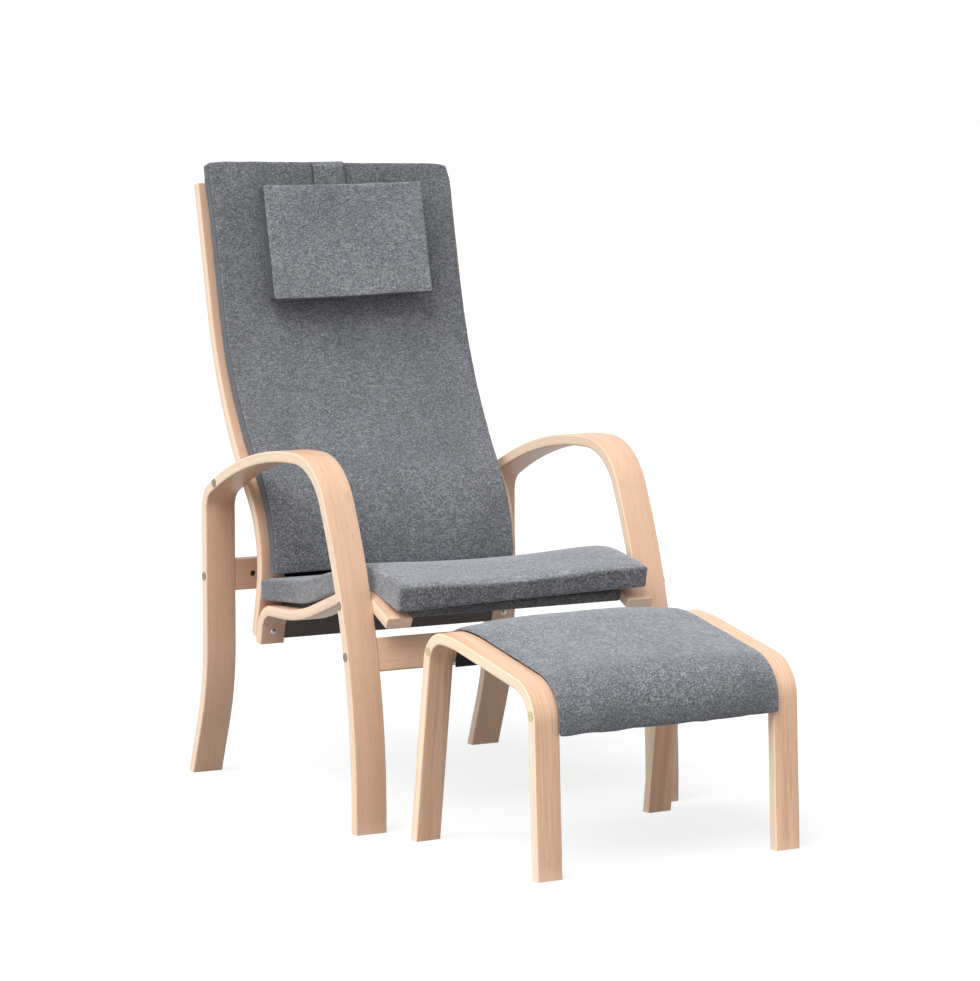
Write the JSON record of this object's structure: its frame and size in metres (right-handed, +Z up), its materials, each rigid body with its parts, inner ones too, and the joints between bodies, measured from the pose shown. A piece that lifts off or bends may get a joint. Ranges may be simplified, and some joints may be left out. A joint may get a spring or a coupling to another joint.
{
  "type": "lounge chair with footstool",
  "caption": "High-backed lounge chair with bent wood arm frames, cushioned seat and back, head pillow and a matching padded footstool.",
  "frame": {"origin": "on the floor, under the middle of the box round the chair and its footstool", "axes": "+Z up, the chair faces -Y, +X to the right of someone who looks along +Y at the chair's front"},
  "size_m": [0.6018, 1.1601, 1.0411],
  "materials": {
    "wood": "satin clear coat on light laminated wood",
    "fabric": "heathered woven cover over foam",
    "dark_panel": "dark matt board",
    "dull_metal": "dull plated steel",
    "bright_metal": "bright plated steel",
    "brassed_steel": "brassed steel"
  },
  "bodies": {
    "chair": {"arm_frame_left": "wood", "arm_frame_right": "wood", "back_cushion": "fabric", "back_pins": "wood", "back_slat_1": "wood", "back_slat_2": "wood", "back_slat_3": "wood", "back_slat_4": "wood", "back_slat_5": "wood", "back_upright_left": "wood", "back_upright_right": "wood", "bolt_sleeves": "dull_metal", "cross_dowels": "dull_metal", "frame_bolts": "dull_metal", "front_cross_rail": "wood", "pillow_strap": "fabric", "rear_cross_rail": "wood", "seat_bolts": "bright_metal", "seat_cushion": "fabric", "seat_front_bar": "wood", "seat_pins": "wood", "seat_rail_left": "wood", "seat_rail_right": "wood", "seat_rear_panel": "dark_panel", "seat_slat": "wood", "seat_sling": "fabric"},
    "pillow": {"head_pillow": "fabric"},
    "stool": {"stool_bolts": "brassed_steel", "stool_dowels": "dull_metal", "stool_frame_left": "wood", "stool_frame_right": "wood", "stool_front_bar": "wood", "stool_pad": "fabric", "stool_pins": "wood", "stool_rear_bar": "wood", "stool_slat_1": "wood", "stool_slat_2": "wood"}
  },
  "joints": [
    {"name": "pillow_slide", "type": "slide", "parent": "chair", "child": "pillow", "axis": [0, 0.225, 0.9744], "range_m": [-0.04, 0.03]},
    {"name": "stool_slide", "type": "slide", "parent": "chair", "child": "stool", "axis": [0, -1, 0], "range_m": [0, 0.4]}
  ]
}
